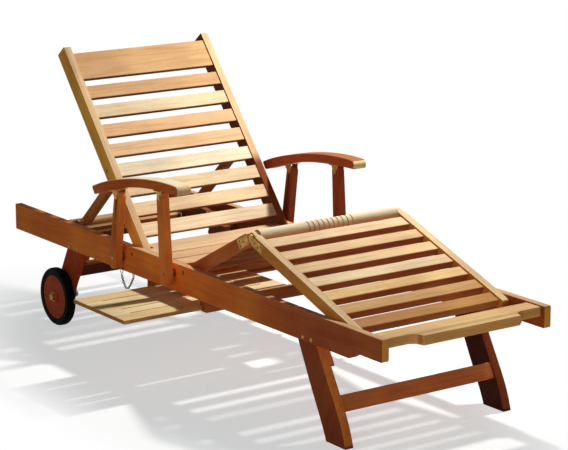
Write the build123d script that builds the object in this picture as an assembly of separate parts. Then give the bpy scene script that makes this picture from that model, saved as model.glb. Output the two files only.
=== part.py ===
"""Steamer deck chair: a wheeled wooden sun lounger with a reclining back,
a folding leg rest, folding armrests and a pull-out side tray.

Units are millimetres, +Z is up, +X points to the foot end.
Every piece is drawn on the chair's own centre plane (y = 0) and moved by
SHIFT_X and SHIFT_Y when it is saved, so that the bounding box is centred.
"""
import math
import os

from build123d import *

os.makedirs("parts", exist_ok=True)

# ---------------------------------------------------------------- frame
RAIL_LENGTH = 2000.0
RAIL_HEIGHT = 86.0
RAIL_THICK = 24.0
RAIL_TOP = 349.0
RAIL_OUT = 299.0
RAIL_IN = RAIL_OUT - RAIL_THICK
RAIL_BOTTOM = RAIL_TOP - RAIL_HEIGHT
HEAD_X = -RAIL_LENGTH / 2
FOOT_X = RAIL_LENGTH / 2
NOSE_HEIGHT = 64.0
NOSE_STEP_START = FOOT_X - 146.0
NOSE_STEP_END = FOOT_X - 105.0
NOSE_STEP_ROUND = 24.0
RAIL_END_ROUND = 6.0

# ---------------------------------------------------------------- clearances
RUN_FIT = 0.08
SIDE_GAP = 1.0
SCREW_GAP = 0.05
PART_GAP = 0.3
CUT_OVER = 5.0

# ---------------------------------------------------------------- fasteners
BOLT_R = 4.0
BOLT_HEAD_R = 6.5
BOLT_HEAD_H = 3.0
BOLT_HEAD_ROUND = 2.4
NUT_R = 6.5
NUT_H = 4.0
RECESS_R = 7.2
RECESS_DEPTH = 4.0

# ---------------------------------------------------------------- front legs
FRONT_LEG_THICK = 28.0
FRONT_LEG_REAR_EDGE = ((621.0, RAIL_BOTTOM), (680.0, 146.0), (726.0, 60.0), (754.0, 0.0))
FRONT_LEG_FRONT_EDGE = ((842.0, 0.0), (822.0, 58.0), (781.0, 135.0), (707.0, RAIL_BOTTOM))
CHEEK_THICK = 16.0
CHEEK_TOP = 291.0
CHEEK_LOW = 205.0
CHEEK_ROUND = 5.0
FRONT_BAR_THICK = 24.0
FRONT_BAR_HEIGHT = 47.0
FRONT_BAR_TOP = (778.0, 134.5)
FRONT_BAR_LEAN = 27.0
BAR_ROUND = 2.5
LEG_BOLT_X = (644.5, 684.0)
LEG_BOLT_Z = 274.0

# ---------------------------------------------------------------- rear legs
REAR_LEG_THICK = 24.0
REAR_LEG_OUT = RAIL_OUT - 3.0
REAR_LEG_IN = REAR_LEG_OUT - REAR_LEG_THICK
REAR_LEG_FRONT_EDGE = ((-571.0, RAIL_BOTTOM), (-603.0, 204.0), (-640.0, 144.0), (-659.5, 92.0))
REAR_LEG_REAR_EDGE = ((-743.5, 92.0), (-728.0, 132.0), (-697.0, 196.0), (-661.0, RAIL_BOTTOM))
REAR_LEG_HEEL = 52.0
REAR_CHEEK_LOW = 232.0
REAR_BOLT_X = (-641.0, -590.0)
REAR_BAR_THICK = 24.0
REAR_BAR_HEIGHT = 47.0
REAR_BAR_TOP = (-600.0, 213.0)
REAR_BAR_LEAN = 30.0

# ---------------------------------------------------------------- wheels
WHEEL_X = -701.5
TYRE_R = 95.5
DISC_R = 72.0
WHEEL_IN = 297.5
WHEEL_WIDTH = 31.0
DISC_WIDTH = 25.0
HUB_BOSS_R = 24.0
TYRE_ROUND = 9.0
AXLE_R = 7.0
HUB_NUT_R = 11.0
HUB_NUT_H = 10.0
HUB_WASHER_R = 15.0
HUB_WASHER_H = 1.6
HUB_GAP = 0.4

# ---------------------------------------------------------------- seat
SEAT_TOP = 349.0
SEAT_THICK = 15.0
SEAT_EDGES = ((-262.0, -136.0), (-130.0, -60.0), (-54.0, 9.0))
SEAT_NOTCH_X = -206.0
CLEAT_WIDTH = 20.0
CLEAT_HEIGHT = 38.0

# ---------------------------------------------------------------- foot and head boards
FOOT_SLAT_TOP = 345.0
FOOT_SLAT_THICK = 28.0
FOOT_SLAT_REAR = FOOT_X - 76.0
FOOT_SLAT_END_FRONT = FOOT_X - 16.0
FOOT_SLAT_MID_FRONT = FOOT_X + 19.0
FOOT_SLAT_STEP_Y = 174.0
FOOT_SLAT_CURVE = 34.0
FOOT_SLAT_LIP = 5.0
HEAD_RAIL_X = HEAD_X + 114.0
HEAD_RAIL_THICK = 24.0
HEAD_RAIL_TOP = 290.0

# ---------------------------------------------------------------- backrest
BACK_PIVOT = (-258.0, 326.5)
BACK_ANGLE = 50.6
BACK_LENGTH = 732.0
BACK_TAIL = 24.0
BACK_FRONT = 38.0
BACK_REAR = 13.0
STILE_OUT = RAIL_IN - SIDE_GAP
STILE_THICK = 24.0
STILE_IN = STILE_OUT - STILE_THICK
STILE_ROUND = 5.0
BACK_SLAT_DROP = 4.0
BACK_SLAT_THICK = 16.0
BACK_SLAT_WIDE = 46.0
BACK_SLAT_COUNT = 8
BACK_LOWEST_SLAT = 37.0
TOP_BOARD_OFFSET = 25.0
TOP_BOARD_WIDE = 97.5
BASE_RAIL_START = 54.0
BASE_RAIL_WIDE = 30.0
BASE_RAIL_THICK = 20.0

# ---------------------------------------------------------------- prop
PROP_ROD_U = 293.3
PROP_ROD_Z = 3.4
PROP_ROD_R = 6.0
PROP_LENGTH = 324.0
PROP_ANGLE = 42.4
PROP_FLAT_ANGLE = 2.0
PROP_ARM_WIDE = 25.0
PROP_ARM_ROUND = 10.0
PROP_OUT = 224.0
PROP_THICK = 24.0
PROP_BAR_R = 14.0
PROP_TENON_R = 10.0
RACK_OUT = 246.5
RACK_IN = 226.0
RACK_GAP = 0.5
RACK_NOTCH_DEPTH = 7.0
RACK_LOW = RAIL_BOTTOM + 2.0
RACK_BASE_TOP = 288.0
RACK_FOOT_X = (-552.0, -522.0)
RACK_ANGLES = (36.0, 43.0, BACK_ANGLE, 58.0, 65.0)
RACK_PATH = (33, 37, 41, 45, 49, 53, 57, 61, 65, 67)

# ---------------------------------------------------------------- leg rest
THIGH_PIVOT = (34.0, 329.0)
THIGH_ANGLE = 27.6
THIGH_LENGTH = 362.3
THIGH_FRONT = 18.0
THIGH_REAR = 17.0
THIGH_START = 15.0
THIGH_END_GAP = 17.0
LEG_SLAT_DROP = 5.0
LEG_SLAT_THICK = 15.0
THIGH_SLATS = ((37.0, 86.0), (110.0, 159.0), (183.0, 232.0), (256.0, 305.0), (318.0, 340.0))
CALF_SLOPE = 19.2
CALF_FRONT = 12.5
CALF_REAR = 22.5
CALF_NOSE = 12.0
CALF_NOSE_ROUND = 29.0
CALF_NOSE_TOP_ROUND = 5.0
CALF_END_GAP = 3.7
CALF_LENGTH = FOOT_SLAT_REAR - CALF_END_GAP - THIGH_PIVOT[0] - THIGH_LENGTH
CALF_FIRST_SLAT = 30.5
CALF_SLAT_WIDE = 44.0
CALF_SLAT_PITCH = 72.5
CALF_SLAT_COUNT = 7
KNEE_ROD_R = 20.0
KNEE_GROOVES = 10
KNEE_GROOVE_PITCH = 17.5
KNEE_GROOVE_WIDE = 4.0
KNEE_GROOVE_DEPTH = 3.0
LEAF_THICK = 2.0
LEAF_FIT = 0.1
THIGH_LEAF_START = 290.0
THIGH_LEAF_LOW = -15.3
THIGH_LEAF_HIGH = 13.6
TONGUE_START = 330.0
TONGUE_WIDE = 18.0
CALF_LEAF_START = -3.0
CALF_LEAF_END = 58.5
CALF_LEAF_LOW = -17.2
CALF_LEAF_HIGH = 4.7
KNEE_EYE_R = 9.0
KNEE_COVER_R = 10.0
KNEE_PIN_R = 3.0
KNEE_PIN_LONG = 16.0
KNEE_POCKET_R = 22.0
LEDGE_TOP = 304.3
LEDGE_X = (FOOT_X - 288.0, FOOT_X - 95.0)
LEDGE_WIDTH = 20.0
LEDGE_HEIGHT = 26.0

# ---------------------------------------------------------------- armrests
POST_IN = 314.5
POST_THICK = 24.0
POST_OUT = POST_IN + POST_THICK
POST_LOW_R = 20.0
POST_TOP_R = 16.0
POST_TAIL = 16.0
REAR_POST_LOW = (-307.0, 310.0)
REAR_POST_HIGH = (-276.0, 510.0)
FRONT_POST_LOW = (-16.0, 320.0)
FRONT_POST_HIGH = (-30.0, 552.0)
SPACER_R = 12.0
ARM_IN = RAIL_OUT + 0.5
ARM_WIDE = 50.0
ARM_EDGE = 3.0
ARM_END_ROUND = 6.0
ARM_FRONT_ROUND = 14.0
ARM_TOP = ((-409, 521), (-312, 555), (-244, 572), (-146, 591), (-50, 602.5), (18, 606), (88, 604))
ARM_LOW = ((84, 579), (17, 577), (-64, 572.5), (-146, 563), (-220, 548.5), (-288, 530), (-392, 498))
EAR_THICK = 2.0
EAR_GAP = 0.5
EAR_TOP_WIDE = 34.0
EAR_LOW_R = 8.0
EAR_FLANGE = 9.0
REAR_EAR_RISE = 21.6
REAR_EAR_SLOPE = 15.0
FRONT_EAR_RISE = 21.9
FRONT_EAR_SLOPE = 3.0
EAR_PIN_R = 4.0
EAR_PIN_HEAD_R = 5.5
EAR_PIN_HEAD_H = 1.8

# ---------------------------------------------------------------- tray
TRAY_TOP = 247.0
TRAY_THICK = 12.0
TRAY_X = (-154.0, 135.0)
TRAY_OUT = 568.0
TRAY_LENGTH = 620.0
TRAY_END_WIDE = 60.0
TRAY_SLOTS = (-90.0, -36.0, 20.0, 71.0)
TRAY_SLOT_WIDE = 5.0
RUNNER_LOW = 228.0
RUNNER_THICK = 22.0
RUNNER_ROUND = 10.0
RUNNER_FRONT_X = 126.0
RUNNER_REAR_X = -146.0
GROOVE_GAP = 0.6
GROOVE_DEPTH = 10.0

# ---------------------------------------------------------------- lock pin
PIN_X = -309.0
PIN_Z = 269.5
PIN_R = 3.0
PIN_RING_R = 7.0
PIN_RING_WIRE = 1.2
PIN_OUT = 308.0
CHAIN_END_X = -259.0
CHAIN_LOW = (-286.0, 207.0)
CHAIN_WIRE_R = 1.3
CHAIN_EYE_R = 4.0

# ---------------------------------------------------------------- placing
ARM_OUT = ARM_IN + ARM_WIDE
SHIFT_Y = (TRAY_OUT - ARM_OUT) / 2
SHIFT_X = -(HEAD_X + FOOT_SLAT_MID_FRONT) / 2


def save(name, shape):
    """Move a finished piece into the shared frame and write its file."""
    solid = Pos(SHIFT_X, SHIFT_Y, 0) * shape
    export_step(solid, f"parts/{name}.step")


def slab(points, y0, y1, rounding=0.0):
    """Board with the outline `points` in X and Z, from y0 to y1."""
    outline = make_face(Polyline(*points, close=True))
    if rounding:
        outline = fillet(outline.vertices(), rounding)
    return plate(outline, y0, y1)


def plate(outline, y0, y1):
    """Board cut to a drawn outline in X and Z, from y0 to y1."""
    return Pos(0, y0, 0) * extrude(Plane.XZ * outline, -(y1 - y0))


def block(x0, x1, y0, y1, z0, z1):
    """Plain box between opposite corners."""
    size = Box(x1 - x0, y1 - y0, z1 - z0)
    return Pos((x0 + x1) / 2, (y0 + y1) / 2, (z0 + z1) / 2) * size


def slat(x0, x1, y0, y1, z0, z1, edge=2.5):
    """Box whose four long edges along Y are eased."""
    plain = block(x0, x1, y0, y1, z0, z1)
    return fillet(plain.edges().filter_by(Axis.Y), edge)


def rod(x, z, radius, y0, y1):
    """Round bar along Y."""
    bar = Cylinder(radius, y1 - y0, rotation=(90, 0, 0))
    return Pos(x, (y0 + y1) / 2, z) * bar


def left(shape):
    """The same piece on the other side of the chair."""
    return mirror(shape, about=Plane.XZ)


def both(shape):
    """A piece and its mirror image, as one group of separate solids."""
    return Compound(children=list(shape.solids()) + list(left(shape).solids()))


def tilt(shape, pivot, degrees):
    """Turn a piece drawn flat around its pivot by degrees about +Y."""
    return Pos(pivot[0], 0, pivot[1]) * Rot(0, degrees, 0) * shape


# ================================================================ frame
def rail():
    """Right side rail, with a shallower nose at the foot end."""
    nose_low = RAIL_TOP - NOSE_HEIGHT
    points = [
        (HEAD_X, RAIL_BOTTOM),
        (NOSE_STEP_START, RAIL_BOTTOM),
        (NOSE_STEP_END, nose_low),
        (FOOT_X, nose_low),
        (FOOT_X, RAIL_TOP),
        (HEAD_X, RAIL_TOP),
    ]
    outline = make_face(Polyline(*points, close=True))
    step = [v for v in outline.vertices() if NOSE_STEP_START - 1 < v.X < NOSE_STEP_END + 1]
    outline = fillet(step, NOSE_STEP_ROUND)
    ends = [v for v in outline.vertices() if v.X > FOOT_X - 1]
    outline = fillet(ends, RAIL_END_ROUND)
    body = plate(outline, -RAIL_OUT, -RAIL_IN)
    top = [e for e in body.edges() if abs(e.center().Z - RAIL_TOP) < 0.1 and e.length > RAIL_LENGTH / 2]
    body = fillet(top, 2.0)
    holes = [BACK_PIVOT, THIGH_PIVOT, REAR_POST_LOW, FRONT_POST_LOW]
    holes += [(x, LEG_BOLT_Z) for x in LEG_BOLT_X + REAR_BOLT_X]
    for x, z in holes:
        body -= rod(x, z, BOLT_R + RUN_FIT, -RAIL_OUT - CUT_OVER, -RAIL_IN + CUT_OVER)
    for x, z in (BACK_PIVOT, THIGH_PIVOT):
        body -= rod(x, z, RECESS_R, -RAIL_OUT - CUT_OVER, -RAIL_OUT + RECESS_DEPTH)
    return body


def head_rail():
    """Low cross rail joining the side rails behind the folded back."""
    x1 = HEAD_RAIL_X
    return slat(x1 - HEAD_RAIL_THICK, x1, -RAIL_IN, RAIL_IN, RAIL_BOTTOM, HEAD_RAIL_TOP)


def foot_slat():
    """Shaped foot board: narrow ends, wide middle, a hollow curve between."""
    rear = FOOT_SLAT_REAR
    end = FOOT_SLAT_END_FRONT
    front = FOOT_SLAT_MID_FRONT
    lip = front - FOOT_SLAT_LIP
    step = FOOT_SLAT_STEP_Y
    curve = step + FOOT_SLAT_CURVE
    cove = (end + (lip - end) * 0.22, step + FOOT_SLAT_CURVE * 0.3)
    edges = [
        Line((rear, -RAIL_IN), (rear, RAIL_IN)),
        Line((rear, RAIL_IN), (end, RAIL_IN)),
        Line((end, RAIL_IN), (end, curve)),
        ThreePointArc((end, curve), cove, (lip, step)),
        Line((lip, step), (front, step - FOOT_SLAT_LIP)),
        Line((front, step - FOOT_SLAT_LIP), (front, FOOT_SLAT_LIP - step)),
        Line((front, FOOT_SLAT_LIP - step), (lip, -step)),
        ThreePointArc((lip, -step), (cove[0], -cove[1]), (end, -curve)),
        Line((end, -curve), (end, -RAIL_IN)),
        Line((end, -RAIL_IN), (rear, -RAIL_IN)),
    ]
    board = extrude(make_face(Wire(edges)), FOOT_SLAT_THICK)
    return Pos(0, 0, FOOT_SLAT_TOP - FOOT_SLAT_THICK) * board


def cheek(rear_edge, front_edge, lowest):
    """Upper end of a right leg that lies against the rail's inner face."""
    (x0, z0), (x1, z1) = front_edge
    slope = (x1 - x0) / (z1 - z0)
    wide = x0 - rear_edge[0]
    top = x0 + (CHEEK_TOP - z0) * slope
    low = x0 + (lowest - z0) * slope
    points = [(top - wide, CHEEK_TOP), (top, CHEEK_TOP), (low, lowest), (low - wide, lowest)]
    return slab(points, -RAIL_IN, -RAIL_IN + CHEEK_THICK, CHEEK_ROUND)


def front_leg():
    """Right front leg: sabre-curved, with a cheek bolted inside the rail."""
    rear = FRONT_LEG_REAR_EDGE
    front = FRONT_LEG_FRONT_EDGE
    rear_edge = Spline(*rear, tangents=((0.46, -0.89), (0.36, -0.93)))
    front_edge = Spline(*front, tangents=((-0.26, 0.96), (-0.5, 0.87)))
    outline = make_face(Wire([rear_edge, Line(rear[-1], front[0]), front_edge, Line(front[-1], rear[0])]))
    body = plate(outline, -RAIL_OUT, -RAIL_OUT + FRONT_LEG_THICK)
    body += cheek(rear[0], (front[-1], front[-2]), CHEEK_LOW)
    for x in LEG_BOLT_X:
        body -= rod(x, LEG_BOLT_Z, BOLT_R + RUN_FIT, -RAIL_OUT - CUT_OVER, -RAIL_IN + CHEEK_THICK + CUT_OVER)
    return body


def crossbar(top, lean, height, thick, inside):
    """Bar between a pair of legs, leaning with them by `lean` degrees."""
    turn = math.radians(abs(lean))
    way = 1 if lean > 0 else -1
    low = (top[0] + way * height * math.sin(turn), top[1] - height * math.cos(turn))
    back = (-thick * math.cos(turn), -way * thick * math.sin(turn))
    low_back = (low[0] + back[0], low[1] + back[1])
    top_back = (top[0] + back[0], top[1] + back[1])
    return slab([top, low, low_back, top_back], -inside, inside, BAR_ROUND)


def front_bar():
    """Crossbar between the front legs, set to their slope."""
    inside = RAIL_OUT - FRONT_LEG_THICK
    return crossbar(FRONT_BAR_TOP, FRONT_BAR_LEAN, FRONT_BAR_HEIGHT, FRONT_BAR_THICK, inside)


def rear_leg():
    """Right rear leg, leaning to the head end and rounded below the axle."""
    front = REAR_LEG_FRONT_EDGE
    rear = REAR_LEG_REAR_EDGE
    front_edge = Spline(*front, tangents=((-0.48, -0.88), (-0.25, -0.97)))
    heel = ThreePointArc(front[-1], (WHEEL_X, REAR_LEG_HEEL), rear[0])
    rear_edge = Spline(*rear, tangents=((0.25, 0.97), (0.48, 0.88)))
    outline = make_face(Wire([front_edge, heel, rear_edge, Line(rear[-1], front[0])]))
    body = plate(outline, -REAR_LEG_OUT, -REAR_LEG_IN)
    body += cheek(rear[-1], (front[0], front[1]), REAR_CHEEK_LOW)
    body -= rod(WHEEL_X, TYRE_R, AXLE_R + RUN_FIT, -RAIL_OUT - CUT_OVER, -RAIL_IN + CUT_OVER)
    for x in REAR_BOLT_X:
        body -= rod(x, LEG_BOLT_Z, BOLT_R + RUN_FIT, -RAIL_OUT - CUT_OVER, -RAIL_IN + CHEEK_THICK + CUT_OVER)
    return body


def rear_bar():
    """Crossbar between the rear legs, set to their slope."""
    return crossbar(REAR_BAR_TOP, -REAR_BAR_LEAN, REAR_BAR_HEIGHT, REAR_BAR_THICK, REAR_LEG_IN)


def axle():
    """Steel rod that carries both wheels."""
    reach = WHEEL_IN + WHEEL_WIDTH + 8
    return rod(WHEEL_X, TYRE_R, AXLE_R, -reach, reach)


def bolt(x, z, y_head, y_end, nut=True):
    """Dome-headed bolt along Y on the right side, with its nut inside."""
    head = rod(x, z, BOLT_HEAD_R, y_head - BOLT_HEAD_H, y_head)
    rim = [e for e in head.edges() if abs(e.center().Y - (y_head - BOLT_HEAD_H)) < 0.01]
    head = fillet(rim, BOLT_HEAD_ROUND)
    body = head + rod(x, z, BOLT_R, y_head - 0.5, y_end)
    if nut:
        body += rod(x, z, NUT_R, y_end - 0.2, y_end + NUT_H)
    return body


def pivot_bolts(pivot):
    """Pair of bolts, sunk in the rails, on which the back or leg rest turns."""
    return both(bolt(pivot[0], pivot[1], -RAIL_OUT + RECESS_DEPTH, -STILE_IN + 0.5))


def post_bolt(low):
    """Right bolt that carries an armrest post, with its spacer collar."""
    spacer = rod(*low, SPACER_R, -POST_IN + PART_GAP, -RAIL_OUT)
    return bolt(*low, -POST_OUT - PART_GAP, -RAIL_IN, nut=False) + spacer


def leg_bolts():
    """Eight bolts that hold the legs to the rails."""
    inside = -RAIL_IN + CHEEK_THICK + 0.2
    pair = [bolt(x, LEG_BOLT_Z, -RAIL_OUT, inside) for x in LEG_BOLT_X + REAR_BOLT_X]
    return both(Compound(children=pair))


# ================================================================ seat
def seat_board(index):
    """One fixed seat board; the rear one is notched round the back's stiles."""
    x0, x1 = SEAT_EDGES[index]
    low = SEAT_TOP - SEAT_THICK
    board = slat(x0, x1, -RAIL_IN, RAIL_IN, low, SEAT_TOP)
    if index == 0:
        for side in (-1, 1):
            y0, y1 = sorted((side * (STILE_IN - 2), side * (RAIL_IN + CUT_OVER)))
            board -= block(x0 - CUT_OVER, SEAT_NOTCH_X, y0, y1, low - CUT_OVER, SEAT_TOP + CUT_OVER)
    return board


def seat_cleat():
    """Cleat inside the right rail that carries the seat boards."""
    top = SEAT_TOP - SEAT_THICK
    x0 = SEAT_NOTCH_X + 4
    x1 = SEAT_EDGES[2][1] - 3
    return slat(x0, x1, -RAIL_IN, -RAIL_IN + CLEAT_WIDTH, top - CLEAT_HEIGHT, top, 2)


def leg_ledge():
    """Cleat inside the right rail that the leg rest's lower end lies on."""
    x0, x1 = LEDGE_X
    low = LEDGE_TOP - LEDGE_HEIGHT
    return slat(x0, x1, -RAIL_IN, -RAIL_IN + LEDGE_WIDTH, low, LEDGE_TOP, 2)


# ================================================================ backrest
def back(shape):
    """Place a piece of the backrest at its angle."""
    return tilt(shape, BACK_PIVOT, BACK_ANGLE)


def back_stile():
    """Right stile of the backrest with eased ends."""
    end = -BACK_LENGTH
    points = [(BACK_TAIL, -BACK_REAR), (BACK_TAIL, BACK_FRONT), (end, BACK_FRONT), (end, -BACK_REAR)]
    body = slab(points, -STILE_OUT, -STILE_IN, STILE_ROUND)
    body -= rod(0, 0, BOLT_R + RUN_FIT, -STILE_OUT - CUT_OVER, -STILE_IN + CUT_OVER)
    body -= rod(-PROP_ROD_U, PROP_ROD_Z, PROP_ROD_R + SCREW_GAP, -STILE_OUT - CUT_OVER, -STILE_IN + CUT_OVER)
    return back(body)


def back_slat(start, wide):
    """Backrest slat that starts `start` mm from the pivot."""
    top = BACK_FRONT - BACK_SLAT_DROP
    piece = slat(-start - wide, -start, -STILE_IN, STILE_IN, top - BACK_SLAT_THICK, top)
    return back(piece)


def back_slat_starts():
    """Distances from the pivot at which the backrest slats start."""
    top_board = BACK_LENGTH - TOP_BOARD_OFFSET - TOP_BOARD_WIDE
    pitch = (top_board - BACK_LOWEST_SLAT) / BACK_SLAT_COUNT
    return [BACK_LOWEST_SLAT + i * pitch for i in range(BACK_SLAT_COUNT)]


def back_base():
    """Cross rail behind the lowest slat of the backrest."""
    x0 = -BASE_RAIL_START - BASE_RAIL_WIDE
    high = BACK_FRONT - BACK_SLAT_DROP - BACK_SLAT_THICK
    piece = slat(x0, -BASE_RAIL_START, -STILE_IN, STILE_IN, high - BASE_RAIL_THICK, high)
    return back(piece)


def prop_rod():
    """Steel rod behind the slats on which the prop hangs."""
    reach = STILE_OUT - 2
    return back(rod(-PROP_ROD_U, PROP_ROD_Z, PROP_ROD_R, -reach, reach))


def prop_top(angle):
    """Centre of the prop rod when the back stands at `angle` degrees."""
    a = math.radians(angle)
    x = BACK_PIVOT[0] - PROP_ROD_U * math.cos(a) + PROP_ROD_Z * math.sin(a)
    z = BACK_PIVOT[1] + PROP_ROD_U * math.sin(a) + PROP_ROD_Z * math.cos(a)
    return x, z


def prop_foot(angle):
    """Centre of the prop's foot bar when the back stands at `angle`."""
    share = (PROP_ANGLE - PROP_FLAT_ANGLE) / BACK_ANGLE
    down = math.radians(PROP_FLAT_ANGLE + share * angle)
    x, z = prop_top(angle)
    return x - PROP_LENGTH * math.cos(down), z - PROP_LENGTH * math.sin(down)


def prop(shape):
    """Place a piece of the prop at its angle."""
    return tilt(shape, prop_top(BACK_ANGLE), -PROP_ANGLE)


def prop_arm():
    """Right arm of the prop."""
    half = PROP_ARM_WIDE / 2
    end = PROP_LENGTH + half
    inner = -PROP_OUT + PROP_THICK
    body = slab([(half, -half), (half, half), (-end, half), (-end, -half)], -PROP_OUT, inner, PROP_ARM_ROUND)
    body -= rod(0, 0, PROP_ROD_R + RUN_FIT, -PROP_OUT - CUT_OVER, inner + CUT_OVER)
    body -= rod(-PROP_LENGTH, 0, PROP_TENON_R + SCREW_GAP, -PROP_OUT - CUT_OVER, inner + CUT_OVER)
    return prop(body)


def prop_bar():
    """Foot bar of the prop, with slimmer ends that drop into the racks."""
    inner = PROP_OUT - PROP_THICK
    end = RACK_OUT - 0.5
    body = rod(-PROP_LENGTH, 0, PROP_BAR_R, -inner, inner)
    body += rod(-PROP_LENGTH, 0, PROP_TENON_R, -end, end)
    return prop(body)


def rack():
    """Right notched rack; its top follows the path of the prop's foot bar."""
    drop = PROP_TENON_R + RACK_GAP
    line = [prop_foot(a) for a in RACK_PATH]
    top = [(x, z - drop) for x, z in line]
    points = [(top[0][0], RACK_LOW)] + top + [(top[-1][0], RACK_LOW)]
    outline = make_face(Polyline(*points, close=True))
    for angle in RACK_ANGLES:
        x, z = prop_foot(angle)
        outline -= Pos(x, z - RACK_NOTCH_DEPTH) * Circle(PROP_TENON_R + RACK_GAP)
    body = plate(outline, -RACK_OUT, -RACK_IN)
    x0, x1 = RACK_FOOT_X
    base = block(top[0][0], x1, -RACK_OUT, -RACK_IN, RACK_LOW, RACK_BASE_TOP)
    foot = block(x0, x1, -RAIL_IN, -RACK_IN, RACK_LOW, RACK_BASE_TOP)
    return body + base + foot


# ================================================================ leg rest
def thigh(shape):
    """Place a piece of the upper leg rest at its angle."""
    return tilt(shape, THIGH_PIVOT, -THIGH_ANGLE)


def knee():
    """Position of the knee hinge."""
    a = math.radians(THIGH_ANGLE)
    return THIGH_PIVOT[0] + THIGH_LENGTH * math.cos(a), THIGH_PIVOT[1] + THIGH_LENGTH * math.sin(a)


def calf(shape):
    """Place a piece of the lower leg rest at its angle."""
    return tilt(shape, knee(), CALF_SLOPE)


def thigh_stile():
    """Right stile of the upper leg rest, let in for its hinge leaf."""
    end = THIGH_LENGTH - THIGH_END_GAP
    start = -THIGH_START
    points = [(start, -THIGH_REAR), (start, THIGH_FRONT), (end, THIGH_FRONT), (end, -THIGH_REAR)]
    body = slab(points, -STILE_OUT, -STILE_IN, STILE_ROUND)
    body -= rod(0, 0, BOLT_R + RUN_FIT, -STILE_OUT - CUT_OVER, -STILE_IN + CUT_OVER)
    low = THIGH_LEAF_LOW - LEAF_FIT
    high = THIGH_LEAF_HIGH + LEAF_FIT
    face = -STILE_OUT - CUT_OVER
    body -= block(THIGH_LEAF_START - LEAF_FIT, end + CUT_OVER, face, -STILE_OUT + LEAF_THICK, low, high)
    half = TONGUE_WIDE / 2 + LEAF_FIT
    floor = -STILE_OUT + 2 * LEAF_THICK + PART_GAP + LEAF_FIT
    body -= block(TONGUE_START - LEAF_FIT, end + CUT_OVER, face, floor, -half, half)
    return thigh(body)


def calf_stile():
    """Right stile of the lower leg rest; its nose turns round the knee."""
    nose = -CALF_NOSE
    turn = CALF_NOSE_ROUND
    middle = (nose + turn, -CALF_REAR + turn)
    swing = math.radians(225)
    low = (middle[0] + turn * math.cos(swing), middle[1] + turn * math.sin(swing))
    edges = [
        Line((nose, CALF_FRONT), (nose, middle[1])),
        ThreePointArc((nose, middle[1]), low, (middle[0], -CALF_REAR)),
        Line((middle[0], -CALF_REAR), (CALF_LENGTH, -CALF_REAR)),
        Line((CALF_LENGTH, -CALF_REAR), (CALF_LENGTH, CALF_FRONT)),
        Line((CALF_LENGTH, CALF_FRONT), (nose, CALF_FRONT)),
    ]
    outline = make_face(Wire(edges))
    ends = [v for v in outline.vertices() if v.X > CALF_LENGTH - 1]
    outline = fillet(ends, STILE_ROUND)
    lip = [v for v in outline.vertices() if v.X < nose + 1 and v.Y > CALF_FRONT - 1]
    outline = fillet(lip, CALF_NOSE_TOP_ROUND)
    body = plate(outline, -STILE_OUT, -STILE_IN)
    face = -STILE_OUT - CUT_OVER
    low_z = CALF_LEAF_LOW - LEAF_FIT
    high_z = CALF_LEAF_HIGH + LEAF_FIT
    body -= block(0, CALF_LEAF_END + LEAF_FIT, face, -STILE_OUT + LEAF_THICK, low_z, high_z)
    floor = -STILE_OUT + 2 * LEAF_THICK + 2 * PART_GAP
    body -= rod(0, 0, KNEE_POCKET_R, face, floor)
    body -= rod(0, 0, KNEE_PIN_R + SCREW_GAP, face, -STILE_OUT + KNEE_PIN_LONG + PART_GAP)
    return calf(body)


def leg_slat(x0, x1, front, place):
    """Slat of either half of the leg rest."""
    top = front - LEG_SLAT_DROP
    return place(slat(x0, x1, -STILE_IN, STILE_IN, top - LEG_SLAT_THICK, top))


def knee_rod():
    """Round rod across the knee with a grooved grip in the middle."""
    body = rod(0, 0, KNEE_ROD_R, -STILE_IN, STILE_IN)
    first = -KNEE_GROOVE_PITCH * (KNEE_GROOVES - 1) / 2
    half = KNEE_GROOVE_WIDE / 2
    for i in range(KNEE_GROOVES):
        y = first + i * KNEE_GROOVE_PITCH
        ring = rod(0, 0, KNEE_ROD_R + CUT_OVER, y - half, y + half)
        ring -= rod(0, 0, KNEE_ROD_R - KNEE_GROOVE_DEPTH, y - CUT_OVER, y + CUT_OVER)
        body -= ring
    return calf(body)


def thigh_leaf():
    """Right hinge leaf on the upper stile, with a tongue that holds the eye."""
    end = THIGH_LENGTH - THIGH_END_GAP
    y0 = -STILE_OUT
    y1 = y0 + LEAF_THICK
    half = TONGUE_WIDE / 2
    body = block(THIGH_LEAF_START, end, y0, y1 - SCREW_GAP, THIGH_LEAF_LOW, THIGH_LEAF_HIGH)
    body += block(TONGUE_START, end, y1 - 0.5, y1 + PART_GAP + LEAF_THICK, -half, half)
    body += block(end - 1, THIGH_LENGTH, y1 + PART_GAP, y1 + PART_GAP + LEAF_THICK, -half, half)
    body += rod(THIGH_LENGTH, 0, KNEE_EYE_R, y1 + PART_GAP, y1 + PART_GAP + LEAF_THICK)
    body -= rod(THIGH_LENGTH, 0, KNEE_PIN_R + RUN_FIT, y0, y0 + KNEE_PIN_LONG)
    return thigh(body)


def calf_leaf():
    """Right hinge leaf on the lower stile, with the knee pin."""
    y0 = -STILE_OUT
    y1 = y0 + LEAF_THICK - SCREW_GAP
    body = block(CALF_LEAF_START, CALF_LEAF_END, y0, y1, CALF_LEAF_LOW, CALF_LEAF_HIGH)
    body += rod(0, 0, KNEE_COVER_R, y0, y1)
    body += rod(0, 0, KNEE_PIN_R, y0, y0 + KNEE_PIN_LONG)
    return calf(body)


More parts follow.
